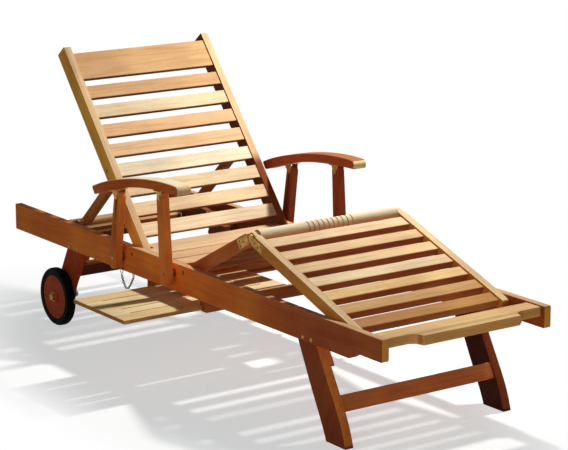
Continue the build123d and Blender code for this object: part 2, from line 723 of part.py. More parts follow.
# ================================================================ armrests
def post(low, high, hole):
    """Right armrest post: tapered, with a round head and a round heel."""
    length = math.hypot(high[0] - low[0], high[1] - low[1])
    lean = math.degrees(math.atan2(high[0] - low[0], high[1] - low[1]))
    heel = -POST_TAIL
    points = [(-POST_LOW_R, heel), (POST_LOW_R, heel), (POST_TOP_R, length), (-POST_TOP_R, length)]
    body = slab(points, -POST_OUT, -POST_IN)
    body += rod(0, heel, POST_LOW_R, -POST_OUT, -POST_IN)
    body += rod(0, length, POST_TOP_R, -POST_OUT, -POST_IN)
    body -= rod(0, 0, BOLT_R + RUN_FIT, -POST_OUT - CUT_OVER, -POST_IN + CUT_OVER)
    if hole:
        body -= rod(0, length, EAR_PIN_R + RUN_FIT, -POST_OUT - CUT_OVER, -POST_IN + CUT_OVER)
    return Pos(low[0], 0, low[1]) * Rot(0, lean, 0) * body


def arm():
    """Right armrest board: a shallow bow, higher at the front."""
    top = Spline(*ARM_TOP)
    low = Spline(*ARM_LOW)
    outline = make_face(Wire([top, Line(ARM_TOP[-1], ARM_LOW[0]), low, Line(ARM_LOW[-1], ARM_TOP[0])]))
    nose = [v for v in outline.vertices() if v.X > 0 and v.Y > ARM_LOW[0][1] + 1]
    outline = fillet(nose, ARM_FRONT_ROUND)
    rear = [v for v in outline.vertices() if v.X < 0 and v.Y < ARM_TOP[0][1] + 1]
    outline = fillet(rear, ARM_END_ROUND)
    body = plate(outline, -ARM_OUT, -ARM_IN)
    rims = [e for e in body.edges() if min(abs(e.center().Y + ARM_OUT), abs(e.center().Y + ARM_IN)) < 0.01]
    return fillet(rims, ARM_EDGE)


def ear(face, way, rise):
    """Tapered hinge plate beside a post's head; its flange goes under the arm."""
    half = EAR_TOP_WIDE / 2
    near = face + way * EAR_GAP
    y0, y1 = sorted((near, near + way * EAR_THICK))
    outline = [(-EAR_LOW_R, 0), (EAR_LOW_R, 0), (half, rise), (-half, rise)]
    body = slab(outline, y0, y1) + rod(0, 0, EAR_LOW_R, y0, y1)
    edge = near + way * (EAR_THICK + EAR_FLANGE)
    f0, f1 = sorted((near, edge))
    body += block(-half, half, f0, f1, rise - EAR_THICK, rise)
    h0, h1 = sorted((near + way * EAR_THICK, near + way * (EAR_THICK + EAR_PIN_HEAD_H)))
    return body + rod(0, 0, EAR_PIN_HEAD_R, h0, h1)


def arm_bracket(high, rise, slope, pin):
    """Pair of hinge plates under the right armrest, round one post's head."""
    outer = ear(-POST_OUT, -1, rise)
    inner = ear(-POST_IN, 1, rise)
    if pin:
        reach = EAR_GAP + EAR_THICK
        body = outer + inner + rod(0, 0, EAR_PIN_R, -POST_OUT - reach, -POST_IN + reach)
        return tilt(body, high, -slope)
    return tilt(Compound(children=[outer, inner]), high, -slope)


# ================================================================ tray
def tray():
    """Pull-out tray panel, sawn into five boards that stay joined at the ends."""
    x0, x1 = TRAY_X
    y0 = -TRAY_OUT
    y1 = y0 + TRAY_LENGTH
    low = TRAY_TOP - TRAY_THICK
    body = block(x0, x1, y0, y1, low, TRAY_TOP)
    half = TRAY_SLOT_WIDE / 2
    for x in TRAY_SLOTS:
        cut = block(x - half, x + half, y0 + TRAY_END_WIDE, y1 - TRAY_END_WIDE, low - CUT_OVER, TRAY_TOP + CUT_OVER)
        body -= cut
    return body


def runner(x0, groove_side):
    """Grooved cross rail that one edge of the tray runs in."""
    x1 = x0 + RUNNER_THICK
    body = block(x0, x1, -RAIL_OUT, RAIL_OUT, RUNNER_LOW, RAIL_BOTTOM)
    ends = [e for e in body.edges().filter_by(Axis.X) if e.center().Z < RUNNER_LOW + 1]
    body = fillet(ends, RUNNER_ROUND)
    low = TRAY_TOP - TRAY_THICK - GROOVE_GAP
    high = TRAY_TOP + GROOVE_GAP
    reach = RAIL_OUT + CUT_OVER
    if groove_side < 0:
        return body - block(x0 - CUT_OVER, x0 + GROOVE_DEPTH, -reach, reach, low, high)
    return body - block(x1 - GROOVE_DEPTH, x1 + CUT_OVER, -reach, reach, low, high)


# ================================================================ lock pin
def lock_pin():
    """Ring-headed pin through the right rail beside the rear post."""
    shaft = rod(PIN_X, PIN_Z, PIN_R, -PIN_OUT, -RAIL_IN + 6)
    ring = Torus(PIN_RING_R, PIN_RING_WIRE, rotation=(90, 0, 0))
    ring = Pos(PIN_X, -PIN_OUT + PIN_R, PIN_Z - PIN_RING_R) * ring
    return shaft + ring


def chain():
    """Safety chain from the lock pin to an eye under the right rail."""
    start = (PIN_X, -PIN_OUT + PIN_R, PIN_Z - 2 * PIN_RING_R - 4)
    low = (CHAIN_LOW[0], -RAIL_OUT - 1, CHAIN_LOW[1])
    end = (CHAIN_END_X, -RAIL_OUT + 6, RAIL_BOTTOM - 6)
    path = Spline(start, low, end, tangents=((0.25, 0, -1), (0.3, 0, 1)))
    section = Plane(origin=path @ 0, z_dir=path % 0) * Circle(CHAIN_WIRE_R)
    eye = Torus(CHAIN_EYE_R, PIN_RING_WIRE, rotation=(90, 0, 0))
    eye = Pos(CHAIN_END_X, -RAIL_OUT + 6, RAIL_BOTTOM - CHAIN_EYE_R - CHAIN_WIRE_R) * eye
    return sweep(section, path=path) + eye


def wheel_disc():
    """Right wooden wheel disc."""
    mid = -(WHEEL_IN + WHEEL_WIDTH / 2)
    body = rod(WHEEL_X, TYRE_R, DISC_R, mid - DISC_WIDTH / 2, mid + DISC_WIDTH / 2)
    body += rod(WHEEL_X, TYRE_R, HUB_BOSS_R, -WHEEL_IN - WHEEL_WIDTH, -WHEEL_IN)
    body -= rod(WHEEL_X, TYRE_R, AXLE_R + RUN_FIT, mid - WHEEL_WIDTH, mid + WHEEL_WIDTH)
    return body


def tyre():
    """Right rubber tyre."""
    y0 = -WHEEL_IN - WHEEL_WIDTH
    body = rod(WHEEL_X, TYRE_R, TYRE_R, y0, -WHEEL_IN)
    body -= rod(WHEEL_X, TYRE_R, DISC_R + SCREW_GAP, y0 - CUT_OVER, -WHEEL_IN + CUT_OVER)
    outer = [e for e in body.edges() if e.length > 2 * math.pi * (TYRE_R - 1)]
    return fillet(outer, TYRE_ROUND)


def hub_nut():
    """Right hub washer and cap nut on the end of the axle."""
    y = -WHEEL_IN - WHEEL_WIDTH - HUB_GAP
    face = y - HUB_WASHER_H
    washer = rod(WHEEL_X, TYRE_R, HUB_WASHER_R, face, y)
    nut = rod(WHEEL_X, TYRE_R, HUB_NUT_R, face - HUB_NUT_H, face + 0.2)
    rim = [e for e in nut.edges() if e.center().Y < face - HUB_NUT_H + 0.5]
    nut = fillet(rim, 4)
    return washer + nut - rod(WHEEL_X, TYRE_R, AXLE_R + SCREW_GAP, y - 8, y + CUT_OVER)


def build():
    """Make every piece and write it."""
    right_rail = rail()
    pin_hole = rod(PIN_X, PIN_Z, PIN_R + RUN_FIT, -RAIL_OUT - CUT_OVER, -RAIL_IN + CUT_OVER)
    save("side_rail_right", right_rail - pin_hole)
    save("side_rail_left", left(right_rail))
    save("head_cross_rail", head_rail())
    save("foot_board", foot_slat())
    save("front_leg_right", front_leg())
    save("front_leg_left", left(front_leg()))
    save("front_leg_crossbar", front_bar())
    save("rear_leg_right", rear_leg())
    save("rear_leg_left", left(rear_leg()))
    save("rear_leg_crossbar", rear_bar())
    save("axle", axle())
    save("hub_nuts", both(hub_nut()))
    save("leg_bolts", leg_bolts())
    save("back_pivot_bolts", pivot_bolts(BACK_PIVOT))
    save("leg_rest_pivot_bolts", pivot_bolts(THIGH_PIVOT))
    post_bolts = [post_bolt(REAR_POST_LOW), post_bolt(FRONT_POST_LOW)]
    save("post_pivot_bolts", both(Compound(children=post_bolts)))
    for i, name in enumerate(("rear", "middle", "front")):
        save(f"seat_board_{name}", seat_board(i))
    save("seat_cleats", both(seat_cleat()))
    save("leg_rest_ledges", both(leg_ledge()))
    save("back_rack_right", rack())
    save("back_rack_left", left(rack()))
    save("tray_runner_front", runner(RUNNER_FRONT_X, -1))
    save("tray_runner_rear", runner(RUNNER_REAR_X - RUNNER_THICK, 1))

    save("wheel_disc_right", wheel_disc())
    save("wheel_disc_left", left(wheel_disc()))
    save("tyre_right", tyre())
    save("tyre_left", left(tyre()))

    save("back_stile_right", back_stile())
    save("back_stile_left", left(back_stile()))
    top_start = BACK_LENGTH - TOP_BOARD_OFFSET - TOP_BOARD_WIDE
    save("back_top_board", back_slat(top_start, TOP_BOARD_WIDE))
    back_slats = [back_slat(u, BACK_SLAT_WIDE) for u in back_slat_starts()]
    save("back_slats", Compound(children=back_slats))
    save("back_base_rail", back_base())
    save("prop_rod", prop_rod())
    save("prop_arm_right", prop_arm())
    save("prop_arm_left", left(prop_arm()))
    save("prop_foot_bar", prop_bar())

    save("thigh_stile_right", thigh_stile())
    save("thigh_stile_left", left(thigh_stile()))
    thigh_slats = [leg_slat(x0, x1, THIGH_FRONT, thigh) for x0, x1 in THIGH_SLATS]
    save("thigh_slats", Compound(children=thigh_slats))
    save("thigh_hinge_leaves", both(thigh_leaf()))
    save("calf_stile_right", calf_stile())
    save("calf_stile_left", left(calf_stile()))
    starts = [CALF_FIRST_SLAT + i * CALF_SLAT_PITCH for i in range(CALF_SLAT_COUNT)]
    calf_slats = [leg_slat(x, x + CALF_SLAT_WIDE, CALF_FRONT, calf) for x in starts]
    save("calf_slats", Compound(children=calf_slats))
    save("calf_hinge_leaves", both(calf_leaf()))
    save("knee_rod", knee_rod())

    rear_bracket = arm_bracket(REAR_POST_HIGH, REAR_EAR_RISE, REAR_EAR_SLOPE, True)
    front_bracket = arm_bracket(FRONT_POST_HIGH, FRONT_EAR_RISE, FRONT_EAR_SLOPE, False)
    brackets = Compound(children=list(rear_bracket.solids()) + list(front_bracket.solids()))
    rear_post = post(REAR_POST_LOW, REAR_POST_HIGH, True)
    front_post = post(FRONT_POST_LOW, FRONT_POST_HIGH, False)
    for side, turn in (("right", lambda s: s), ("left", left)):
        save(f"arm_{side}", turn(arm()))
        save(f"arm_plates_{side}", turn(brackets))
        save(f"arm_rear_post_{side}", turn(rear_post))
        save(f"arm_front_post_{side}", turn(front_post))

    save("tray", tray())
    save("lock_pin", lock_pin())
    save("pin_chain", chain())


build()
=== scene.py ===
import math

import bmesh
import bpy
from mathutils import Matrix, Vector


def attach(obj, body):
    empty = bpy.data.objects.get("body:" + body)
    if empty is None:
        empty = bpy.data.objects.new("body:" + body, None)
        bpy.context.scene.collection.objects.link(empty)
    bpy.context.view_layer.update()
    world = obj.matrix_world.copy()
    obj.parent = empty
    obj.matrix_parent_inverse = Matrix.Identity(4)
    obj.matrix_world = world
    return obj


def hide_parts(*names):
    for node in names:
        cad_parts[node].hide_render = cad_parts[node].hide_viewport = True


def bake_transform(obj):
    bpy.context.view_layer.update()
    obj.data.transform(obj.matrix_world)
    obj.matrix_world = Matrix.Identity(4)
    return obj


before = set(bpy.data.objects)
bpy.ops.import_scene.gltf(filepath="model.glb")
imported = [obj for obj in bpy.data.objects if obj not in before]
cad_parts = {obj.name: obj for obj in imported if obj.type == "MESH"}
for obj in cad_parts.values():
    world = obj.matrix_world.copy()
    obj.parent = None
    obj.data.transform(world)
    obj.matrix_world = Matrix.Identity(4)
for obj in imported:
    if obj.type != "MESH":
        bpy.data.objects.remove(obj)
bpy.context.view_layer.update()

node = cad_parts

# ---------------------------------------------------------------- studio
# The chair stands on a seamless white floor, seen from its foot end and a
# little above. One small hard lamp hangs high over its far side. A long weak
# soft box opens the near sides a little, and the white room fills the rest.
SENSOR_WIDE = 36.0
LENS_LONG = 138.96
CAMERA_SPOT = (5.3629, -3.62595, 1.9805)
CAMERA_AIM = (0.1251, 0.10925, 0.4534)
KEY_SPOT = (-0.0095, 1.03925, 2.0)
KEY_AIM = (0.25, 0.05, 0.3)
KEY_POWER = 160.0
KEY_COLOUR = (1.0, 0.975, 0.93)
KEY_CONE = 130
KEY_R = 0.07
BOX_SPOT = (3.0, -3.6, 1.0)
BOX_AIM = (0.1, 0.0, 0.3)
BOX_POWER = 34.0
BOX_COLOUR = (1.0, 0.92, 0.82)
BOX_LONG = 5.0
BOX_HIGH = 1.4
ROOM_COLOUR = (1.0, 0.96, 0.90, 1)
ROOM_GLOW = 0.045
PURE_WHITE = (1, 1, 1, 1)
scene = bpy.context.scene
scene.view_settings.view_transform = "Standard"


def placed(name, data):
    """Put the camera, a lamp or a mesh into the scene."""
    made = bpy.data.objects.new(name, data)
    scene.collection.objects.link(made)
    return made


def aimed(made, spot, aim):
    """Stand the camera or a lamp at a spot and turn it to what it points at."""
    made.location = spot
    made.rotation_euler = (Vector(aim) - made.location).to_track_quat("-Z", "Y").to_euler()


lens = bpy.data.cameras.new("studio_camera")
lens.sensor_width = SENSOR_WIDE
lens.lens = LENS_LONG
camera = placed("studio_camera", lens)
aimed(camera, CAMERA_SPOT, CAMERA_AIM)
scene.camera = camera

key_lamp = bpy.data.lights.new("key_lamp", "SPOT")
key_lamp.energy = KEY_POWER
key_lamp.color = KEY_COLOUR
key_lamp.spot_size = math.radians(KEY_CONE)
key_lamp.spot_blend = 1.0
key_lamp.shadow_soft_size = KEY_R
aimed(placed("key_lamp", key_lamp), KEY_SPOT, KEY_AIM)

soft_box = bpy.data.lights.new("near_fill", "AREA")
soft_box.shape = "RECTANGLE"
soft_box.size = BOX_LONG
soft_box.size_y = BOX_HIGH
soft_box.energy = BOX_POWER
soft_box.color = BOX_COLOUR
aimed(placed("near_fill", soft_box), BOX_SPOT, BOX_AIM)


def put(tree, kind, wires=None, **settings):
    """Add one shader node; wires gives its inputs values or other nodes' outputs."""
    made = tree.nodes.new(kind)
    for key, value in settings.items():
        setattr(made, key, value)
    for key, value in (wires or {}).items():
        if isinstance(value, bpy.types.NodeSocket):
            tree.links.new(value, made.inputs[key])
        else:
            made.inputs[key].default_value = value
    return made


def figure_out(tree, operation, *values):
    """One step of arithmetic between values or outputs."""
    return put(tree, "ShaderNodeMath", dict(enumerate(values)), operation=operation).outputs[0]


def spread(tree, value, low, high, to_low=0.0, to_high=1.0):
    """Read a value between low and high as a share between two others."""
    wires = {0: value, 1: low, 2: high, 3: to_low, 4: to_high}
    return put(tree, "ShaderNodeMapRange", wires, interpolation_type="SMOOTHSTEP").outputs[0]


def mixed(tree, share, first, second, how="MIX"):
    """Mix two colours."""
    wires = {0: share, 6: first, 7: second}
    return put(tree, "ShaderNodeMix", wires, data_type="RGBA", blend_type=how).outputs[2]


def in_sight(tree):
    """1 for what is seen directly or mirrored in metal, 0 for light on pieces."""
    path = put(tree, "ShaderNodeLightPath").outputs
    return figure_out(tree, "MAXIMUM", path["Is Camera Ray"], path["Is Glossy Ray"])


def glow(tree, kind, colour, strength):
    """Plain light of one colour, for the room or the paper."""
    return put(tree, kind, {"Color": colour, "Strength": strength}).outputs[0]


room = bpy.data.worlds.new("white_room")
scene.world = room
room.use_nodes = True
room_tree = room.node_tree
room_tree.nodes.clear()
room_sight = in_sight(room_tree)
room_fill = glow(room_tree, "ShaderNodeBackground", ROOM_COLOUR, ROOM_GLOW)
room_white = glow(room_tree, "ShaderNodeBackground", PURE_WHITE, 1.0)
room_mix = put(room_tree, "ShaderNodeMixShader", {0: room_sight, 1: room_fill, 2: room_white})
put(room_tree, "ShaderNodeOutputWorld", {0: room_mix.outputs[0]})

# ---------------------------------------------------------------- floor
# The floor is white paper. What the camera sees of it is lifted so that lit
# paper is pure white and the shadows stay light grey. In an oval round the
# chair it runs out into the white room.
FLOOR_SIZE = 14.0
PAPER_COLOUR = (0.90, 0.90, 0.90, 1)
PAPER_ROUGH = 0.4
LIFT_COLOUR = (0.93, 0.98, 1.0, 1)
FLOOR_LIFT = 0.53
FADE_OVAL = (0.45, 1.0, 1.0)
FADE_MIDDLE = (0.045, -0.04, 0.0)
FADE_START = 0.42
FADE_END = 0.76
half = FLOOR_SIZE / 2
floor_corners = [(-half, -half, 0), (half, -half, 0), (half, half, 0), (-half, half, 0)]
floor_mesh = bpy.data.meshes.new("studio_floor")
floor_mesh.from_pydata(floor_corners, [], [(0, 1, 2, 3)])
floor = placed("studio_floor", floor_mesh)
paper = bpy.data.materials.new("white_paper")
paper.use_nodes = True
tree = paper.node_tree
tree.nodes.clear()
matt = put(tree, "ShaderNodeBsdfDiffuse", {"Color": PAPER_COLOUR, "Roughness": PAPER_ROUGH}).outputs[0]
lift = glow(tree, "ShaderNodeEmission", LIFT_COLOUR, FLOOR_LIFT)
bright = put(tree, "ShaderNodeAddShader", {0: matt, 1: lift}).outputs[0]
paper_end = glow(tree, "ShaderNodeEmission", PURE_WHITE, 1.0)
spot = put(tree, "ShaderNodeTexCoord").outputs["Object"]
oval = put(tree, "ShaderNodeMapping", {"Vector": spot, "Scale": FADE_OVAL}).outputs[0]
far = put(tree, "ShaderNodeVectorMath", {0: oval, 1: FADE_MIDDLE}, operation="DISTANCE")
fade = spread(tree, far.outputs["Value"], FADE_START, FADE_END)
seen = put(tree, "ShaderNodeMixShader", {0: fade, 1: bright, 2: paper_end}).outputs[0]
paper_mix = put(tree, "ShaderNodeMixShader", {0: in_sight(tree), 1: matt, 2: seen})
put(tree, "ShaderNodeOutputMaterial", {0: paper_mix.outputs[0]})
floor_mesh.materials.append(paper)

# ---------------------------------------------------------------- side rails
# Two long straight-grained hardwood rails carry everything else. They are
# planed and oiled, with the arrises taken off. Their upper faces are painted
# paler than their sides, as painted light from above, and the sides carry
# painted shade.
# A grain is its stretch along the board, scale, detail and distortion.
GROWTH_GRAIN = (0.06, 24.0, 3.0, 0.5)
FIBRE_GRAIN = (0.02, 420.0, 3.0)
PORE_GRAIN = (0.035, 1300.0, 1.0)
BAND_GRAIN = (0.05, 60.0, 3.0, 0.3)
RING_COUNT = 11.0
EARLY_WOOD = (1.06, 1.07, 1.08, 1)
LATE_WOOD = (0.76, 0.60, 0.44, 1)
PORE_SHADE = (0.55, 0.40, 0.30, 1)
PORE_STRENGTH = 0.28
SAWN_END_SHADE = (0.70, 0.58, 0.46, 1)
END_RING_SHADE = (0.45, 0.22, 0.08, 1)
KNOT_RING = (0.42, 0.17, 0.05, 1)
KNOT_HEART = (0.07, 0.02, 0.01, 1)
# Painted light: between these, faces turned up take the paler upper colour.
LIT_TOP_START = 0.20
LIT_TOP_END = 0.65
PLANK_JUMP = 7.0
CLOUD_SCALE = 5.0
OIL_ROUGH = 0.55
OIL_SPECULAR = 0.05
GRAIN_STRENGTH = 0.3
GRAIN_DEPTH = 0.0005
WORN_REACH = 0.003


def sharpness(tree, radius):
    """1 on a flat face, and less close to an arris."""
    edge = put(tree, "ShaderNodeBevel", {"Radius": radius}, samples=4).outputs[0]
    true = put(tree, "ShaderNodeNewGeometry").outputs["Normal"]
    return put(tree, "ShaderNodeVectorMath", {0: edge, 1: true}, operation="DOT_PRODUCT").outputs["Value"]


def tinted(tree, colour, tint):
    """A colour darkened or warmed by another."""
    return mixed(tree, 1.0, colour, tint, "MULTIPLY")


def part_of(tree, vector, axis):
    """The share of a vector along one axis."""
    return put(tree, "ShaderNodeSeparateXYZ", {0: vector}).outputs[axis]


def hardwood(name, upper, flank, along="X", turn=0.0, boards=None, seed=0.0,
             knots=(), lit_end=None, shadowed=None, shade_ramp=None):
    """Oiled hardwood.

    upper and flank are the colours of the upper faces and of the sides.
    The upper faces are painted paler, as painted light from above, and the
    sides carry painted shade. along is the axis of the grain, and turn is the
    pitch of the board about Y in degrees. boards is (axis, first, pitch,
    colours) for a row of boards that were cut from different planks. knots
    are (x, y, z, radius). lit_end is a pale colour painted on end faces that
    look along the grain's positive axis, as painted light; other end grain is
    just darker. shadowed is (axis, fully_shaded, fully_lit): a painted cast
    shadow, in which the upper faces keep the side colour up to where the
    light comes out. shade_ramp is (axis, start, finish, colour): painted
    shade that darkens the sides to colour along axis.
    """
    mat = bpy.data.materials.new(name)
    mat.use_nodes = True
    tree = mat.node_tree
    shader = tree.nodes["Principled BSDF"]
    pitch = (0, math.radians(turn), 0)
    place = put(tree, "ShaderNodeTexCoord").outputs
    flat = put(tree, "ShaderNodeMapping", {"Vector": place["Object"], "Rotation": pitch}).outputs[0]
    facing = put(tree, "ShaderNodeMapping", {"Vector": place["Normal"], "Rotation": pitch}).outputs[0]
    sides = put(tree, "ShaderNodeSeparateXYZ", {0: facing}).outputs
    # Painted light: faces that look up get the paler upper colour, and the sides keep painted shade.
    up = spread(tree, sides["Z"], LIT_TOP_START, LIT_TOP_END)
    # Painted shadow: along one axis the upper faces keep the side colour, as if a cast shadow lay there.
    if shadowed:
        axis, fully_shaded, fully_lit = shadowed
        outside_shadow = spread(tree, part_of(tree, place["Object"], axis), fully_shaded, fully_lit)
        up = figure_out(tree, "MULTIPLY", up, outside_shadow)
    lit_top_colour = (*upper, 1)
    if boards:
        axis, first, step, colours = boards
        from_first = figure_out(tree, "SUBTRACT", part_of(tree, flat, axis), first)
        index = figure_out(tree, "FLOOR", figure_out(tree, "DIVIDE", from_first, step))
        share = figure_out(tree, "DIVIDE", figure_out(tree, "ADD", index, 0.5), len(colours))
        planks = put(tree, "ShaderNodeValToRGB", {0: share})
        ramp = planks.color_ramp
        ramp.interpolation = "CONSTANT"
        ramp.elements[0].color = (*colours[0], 1)
        ramp.elements[1].position = 1 / len(colours)
        ramp.elements[1].color = (*colours[1], 1)
        for i, colour in enumerate(colours[2:], 2):
            ramp.elements.new(i / len(colours)).color = (*colour, 1)
        lit_top_colour = planks.outputs[0]
        number = {"W": figure_out(tree, "ADD", index, seed)}
        cut = put(tree, "ShaderNodeTexWhiteNoise", number, noise_dimensions="1D").outputs["Color"]
        jump = put(tree, "ShaderNodeVectorMath", {0: cut, "Scale": PLANK_JUMP}, operation="SCALE")
        flat = put(tree, "ShaderNodeVectorMath", {0: flat, 1: jump.outputs[0]}, operation="ADD").outputs[0]

    def streaks(stretch, scale, detail, distortion=0.0):
        size = [1.0, 1.0, 1.0]
        size["XYZ".index(along)] = stretch
        wires = {"Vector": flat, "Scale": size, "Location": (seed * 1.7, seed * 2.3, seed * 0.9)}
        drawn = put(tree, "ShaderNodeMapping", wires).outputs[0]
        wires = {"Vector": drawn, "Scale": scale, "Detail": detail, "Distortion": distortion}
        return put(tree, "ShaderNodeTexNoise", wires).outputs["Fac"]

    growth = figure_out(tree, "MULTIPLY", streaks(*GROWTH_GRAIN), RING_COUNT)
    rings = figure_out(tree, "PINGPONG", growth, 1.0)
    fibre = streaks(*FIBRE_GRAIN)
    pores = spread(tree, streaks(*PORE_GRAIN), 0.60, 0.70)
    bands = streaks(*BAND_GRAIN)
    late = spread(tree, rings, 0.35, 1.0, 0.0, 0.28)
    late = figure_out(tree, "ADD", late, spread(tree, bands, 0.45, 0.75, 0.0, 0.24))
    late = figure_out(tree, "ADD", late, spread(tree, fibre, 0.42, 0.72, 0.0, 0.24))
    side_shade_colour = (*flank, 1)
    # Painted shade: the side colour darkens along one axis.
    if shade_ramp:
        axis, start, finish, darkest = shade_ramp
        shade_share = spread(tree, part_of(tree, place["Object"], axis), start, finish)
        side_shade_colour = mixed(tree, shade_share, side_shade_colour, (*darkest, 1))
    colour = mixed(tree, up, side_shade_colour, lit_top_colour)
    colour = tinted(tree, colour, mixed(tree, late, EARLY_WOOD, LATE_WOOD))
    pored = figure_out(tree, "MULTIPLY", pores, PORE_STRENGTH)
    colour = mixed(tree, pored, colour, tinted(tree, colour, PORE_SHADE))
    clouds = {"Vector": flat, "Scale": CLOUD_SCALE, "Detail": 2.0}
    cloud = put(tree, "ShaderNodeTexNoise", clouds).outputs["Fac"]
    shift = {
        "Color": colour,
        "Value": spread(tree, cloud, 0.3, 0.7, 0.90, 1.08),
        "Hue": spread(tree, cloud, 0.3, 0.7, 0.494, 0.504),
    }
    colour = put(tree, "ShaderNodeHueSaturation", shift).outputs[0]
    # Painted light: end faces that look along the grain's positive axis get a pale colour, as if lit.
    if lit_end:
        ends = spread(tree, sides[along], 0.55, 0.85)
        end_light = mixed(tree, spread(tree, fibre, 0.35, 0.75, 0.0, 0.35), (*lit_end, 1), END_RING_SHADE)
        colour = mixed(tree, ends, colour, end_light)
    else:
        ends = spread(tree, figure_out(tree, "ABSOLUTE", sides[along]), 0.80, 0.96)
        colour = mixed(tree, ends, colour, tinted(tree, colour, SAWN_END_SHADE))
    for x, y, z, radius in knots:
        heart = {0: place["Object"], 1: (x, y, z)}
        off = put(tree, "ShaderNodeVectorMath", heart, operation="DISTANCE").outputs["Value"]
        ring = figure_out(tree, "ADD", off, figure_out(tree, "MULTIPLY", fibre, radius * 0.5))
        colour = mixed(tree, spread(tree, ring, radius * 2.6, radius, 0.0, 0.55), colour, KNOT_RING)
        colour = mixed(tree, spread(tree, ring, radius, radius * 0.6), colour, KNOT_HEART)
    rubbed = spread(tree, sharpness(tree, WORN_REACH), 0.97, 0.80)
    worn = figure_out(tree, "MULTIPLY", rubbed, spread(tree, bands, 0.35, 0.6, 0.05, 0.40))
    colour = mixed(tree, worn, colour, mixed(tree, 0.5, colour, lit_top_colour))
    tree.links.new(colour, shader.inputs["Base Color"])
    rough = spread(tree, fibre, 0.3, 0.7, OIL_ROUGH - 0.06, OIL_ROUGH + 0.12)
    tree.links.new(rough, shader.inputs["Roughness"])
    shader.inputs["Specular IOR Level"].default_value = OIL_SPECULAR
    height = figure_out(tree, "SUBTRACT", fibre, figure_out(tree, "MULTIPLY", pores, 0.8))
    wires = {"Strength": GRAIN_STRENGTH, "Distance": GRAIN_DEPTH, "Height": height}
    relief = put(tree, "ShaderNodeBump", wires).outputs[0]
    tree.links.new(relief, shader.inputs["Normal"])
    return mat


def finished(piece, mat, arris=0.0):
    """Give one piece its finish, and take off its sharp arrises."""
    piece.data.materials.clear()
    piece.data.materials.append(mat)
    if arris:
        weld = piece.modifiers.new("joined_faces", "WELD")
        weld.merge_threshold = 0.00001
        ease = piece.modifiers.new("eased_arris", "BEVEL")
        ease.width = arris
        ease.segments = 2
        ease.limit_method = "ANGLE"
        ease.angle_limit = math.radians(40)


def dress(names, mat, arris=0.0):
    """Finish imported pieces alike."""
    for name in names:
        finished(node[name], mat, arris)


ARRIS = 0.0015
RAIL_UPPER = (0.74, 0.44, 0.22)
# Painted light: the rails' end faces toward the foot are painted pale, as if lit.
RAIL_LIT_END = (0.98, 0.42, 0.065)
# Painted shadow: toward the head the near rail's upper face keeps the dark side colour, where the backrest's
# shadow falls.
RAIL_HEAD_SHADOW = ("X", -0.52, -0.30)
# Painted shade: the near rail's outer side darkens toward the foot.
RAIL_FOOT_SHADE = ("X", 0.0, 0.75, (0.42, 0.108, 0.036))
rail_wood = hardwood(
    "rail_wood",
    upper=RAIL_UPPER,
    flank=(0.97, 0.285, 0.046),
    seed=1.0,
    lit_end=RAIL_LIT_END,
    shadowed=RAIL_HEAD_SHADOW,
    shade_ramp=RAIL_FOOT_SHADE,
)
dress(["side_rail_right"], rail_wood, ARRIS)
# Painted shade: the far rail is a darker copy of the rail wood, for its shaded inner side.
far_rail_shade_wood = hardwood(
    "far_rail_shade_wood",
    upper=RAIL_UPPER,
    flank=(0.40, 0.11, 0.025),
    seed=1.4,
    lit_end=RAIL_LIT_END,
)
dress(["side_rail_left"], far_rail_shade_wood, ARRIS)

# ---------------------------------------------------------------- legs
# Legs are sawn to a curved taper and bolted to the rails, each with a cheek
# inside. Crossbars stand between them. They are of darker, redder planks.
FRONT_LEG_TURN = -18.0
REAR_LEG_TURN = 22.0
leg_wood = hardwood(
    "leg_wood",
    upper=(1.0, 0.33, 0.075),
    flank=(0.33, 0.08, 0.023),
    along="Z",
    turn=FRONT_LEG_TURN,
    seed=2.0,
)
dress(["front_leg_right"], leg_wood, ARRIS)
# Painted shade: the far front leg is a near-black copy of the leg wood, as it stands in shade.
far_leg_shade_wood = hardwood(
    "far_leg_shade_wood",
    upper=(0.31, 0.075, 0.024),
    flank=(0.055, 0.010, 0.004),
    along="Z",
    turn=FRONT_LEG_TURN,
    seed=2.3,
)
dress(["front_leg_left"], far_leg_shade_wood, ARRIS)
rear_leg_wood = hardwood(
    "rear_leg_wood",
    upper=(0.60, 0.24, 0.07),
    flank=(0.45, 0.077, 0.016),
    along="Z",
    turn=REAR_LEG_TURN,
    seed=2.6,
)
dress(["rear_leg_right", "rear_leg_left"], rear_leg_wood, ARRIS)
crossbar_wood = hardwood(
    "crossbar_wood",
    upper=(0.76, 0.35, 0.12),
    flank=(0.97, 0.19, 0.047),
    along="Y",
    seed=3.0,
)
dress(["front_leg_crossbar"], crossbar_wood, ARRIS)
rear_bar_wood = hardwood(
    "rear_bar_wood",
    upper=(0.40, 0.14, 0.05),
    flank=(0.11, 0.022, 0.009),
    along="Y",
    seed=3.2,
)
dress(["rear_leg_crossbar"], rear_bar_wood, ARRIS)

# ---------------------------------------------------------------- hidden frame
# The head rail, the tray's grooved runners, the cleats and ledges under the
# seat and leg rest, and the notched racks are plainer boards of the same wood.
PLAIN_FLANK = (0.48, 0.16, 0.05)
THIN_ARRIS = 0.0012
CLEAT_ARRIS = 0.0008
cross_wood = hardwood("cross_wood", upper=(0.74, 0.42, 0.18), flank=PLAIN_FLANK, along="Y", seed=3.5)
dress(["head_cross_rail", "tray_runner_front", "tray_runner_rear"], cross_wood, THIN_ARRIS)
cleat_wood = hardwood("cleat_wood", upper=(0.76, 0.45, 0.20), flank=PLAIN_FLANK, seed=4.0)
dress(["seat_cleats", "leg_rest_ledges"], cleat_wood, CLEAT_ARRIS)
